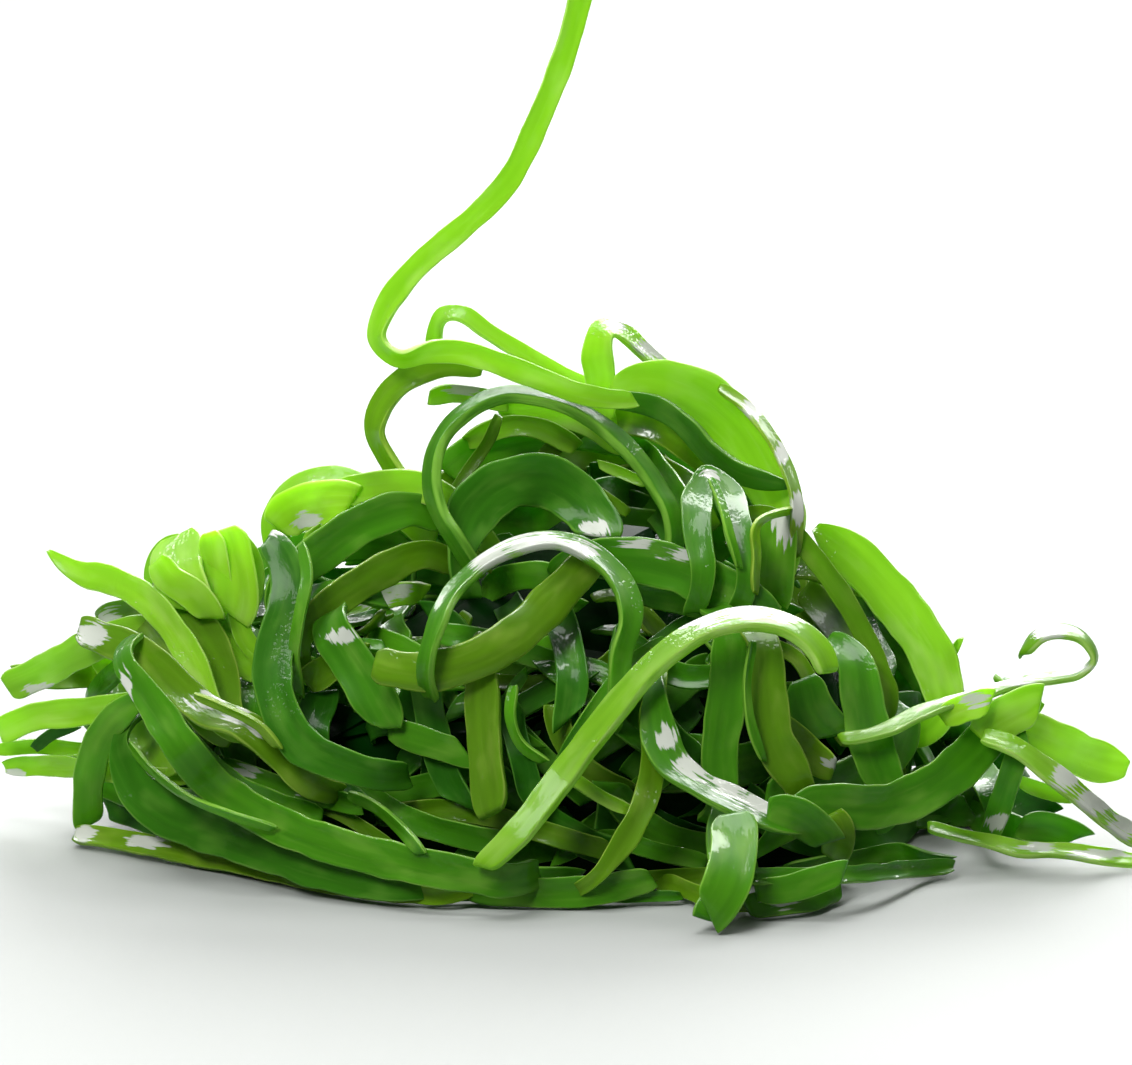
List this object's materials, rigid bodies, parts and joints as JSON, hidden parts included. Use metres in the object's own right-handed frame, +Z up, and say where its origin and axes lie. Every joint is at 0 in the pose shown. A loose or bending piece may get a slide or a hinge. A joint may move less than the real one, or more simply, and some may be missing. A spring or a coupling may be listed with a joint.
{
  "type": "heap of wet shredded kelp",
  "caption": "A heap of long wet translucent green kelp strips, looped and folded over each other, with one strip rising from its top.",
  "frame": {"origin": "on the surface that the heap rests on, under the middle of its matted strips", "axes": "+Z up, +X to the right as seen from the front, where the long arch is, and -Y towards the front"},
  "size_m": [0.1831, 0.1233, 0.137],
  "materials": {
    "kelp_lime": "wet, glossy, light passes through",
    "kelp_olive": "wet, glossy, light passes through",
    "kelp_green": "wet, glossy",
    "kelp_deep": "wet, glossy",
    "kelp_inner": "wet, in shade"
  },
  "bodies": {
    "root": {"matted_inner_strips": "kelp_inner", "back_low_band": "kelp_deep", "back_rising_band": "kelp_green", "back_falling_band": "kelp_olive", "back_cross_band": "kelp_deep", "back_hanging_blade": "kelp_green", "back_upper_arch": "kelp_olive", "back_front_run": "kelp_green", "left_end_drape": "kelp_green", "right_end_drape": "kelp_olive", "hairpin_strand": "kelp_lime", "hooked_strand": "kelp_lime", "round_blade": "kelp_lime", "sparkling_strand": "kelp_deep", "left_arch": "kelp_olive", "curled_blade_high": "kelp_lime", "pale_leaf": "kelp_lime", "curled_blade_left": "kelp_lime", "curled_blade_mid": "kelp_lime", "green_slant": "kelp_green", "shoulder_band": "kelp_olive", "olive_band": "kelp_olive", "pointed_blade": "kelp_lime", "left_wide_blade": "kelp_lime", "left_low_strip": "kelp_lime", "left_level_band": "kelp_lime", "glaring_band": "kelp_olive", "left_upright_blade": "kelp_green", "left_foot_run": "kelp_olive", "dark_crescent": "kelp_deep", "foot_band": "kelp_green", "sweeping_band": "kelp_green", "broad_dark_blade": "kelp_deep", "dark_arch": "kelp_deep", "slant_band": "kelp_olive", "right_outer_blade": "kelp_lime", "right_long_stalk": "kelp_olive", "right_green_sheet": "kelp_green", "hanging_sheet_left": "kelp_green", "hanging_sheet_right": "kelp_olive", "shoulder_wave": "kelp_green", "standing_leaf": "kelp_green", "hanging_stem": "kelp_olive", "folded_flap": "kelp_green", "bright_band": "kelp_olive", "dark_wave_strip": "kelp_deep", "white_topped_arch": "kelp_green", "crescent_leaf": "kelp_olive", "front_drop_strip": "kelp_green", "front_wet_strip": "kelp_green", "right_foot_stick": "kelp_green", "right_crescent": "kelp_green", "folded_wet_strip": "kelp_green", "right_curl": "kelp_lime", "right_lime_leaf": "kelp_lime", "right_wet_scrap": "kelp_green", "right_foot_run": "kelp_lime", "right_white_strip": "kelp_lime", "long_arch": "kelp_lime", "lifted_strand": "kelp_lime"}
  },
  "joints": []
}
